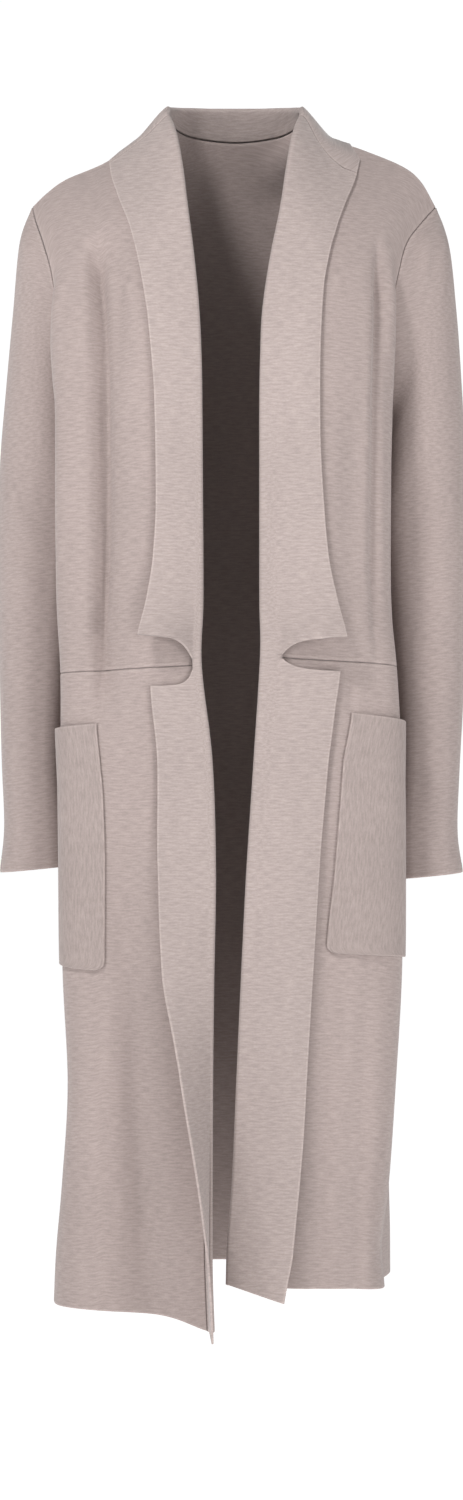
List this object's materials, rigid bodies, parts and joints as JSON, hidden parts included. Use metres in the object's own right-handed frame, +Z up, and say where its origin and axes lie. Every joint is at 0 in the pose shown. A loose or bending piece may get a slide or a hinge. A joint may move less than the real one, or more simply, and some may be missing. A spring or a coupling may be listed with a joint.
{
  "type": "long open knitted cardigan coat",
  "caption": "Long open knitted cardigan coat in its worn shape, with turned-back front bands slit at the waist, long sleeves and patch pockets.",
  "frame": {"origin": "where the wearer's shoulders carry the coat, midway between the neck ends of the shoulder seams", "axes": "+Z up, +X to the wearer's left, the front faces -Y"},
  "size_m": [0.4459, 0.3205, 1.1549],
  "materials": {
    "body_knit": "fine double knit, courses across, matte",
    "band_knit": "fine double knit with clean turned edges, matte",
    "pocket_knit": "fine double knit with courses upright, matte"
  },
  "bodies": {
    "root": {"back": "body_knit", "back_collar": "band_knit", "front_band_left": "band_knit", "front_band_right": "band_knit", "front_skirt_left": "body_knit", "front_skirt_right": "body_knit", "front_upper_left": "body_knit", "front_upper_right": "body_knit", "pocket_left": "pocket_knit", "pocket_right": "pocket_knit", "sleeve_left": "body_knit", "sleeve_right": "body_knit"}
  },
  "joints": []
}
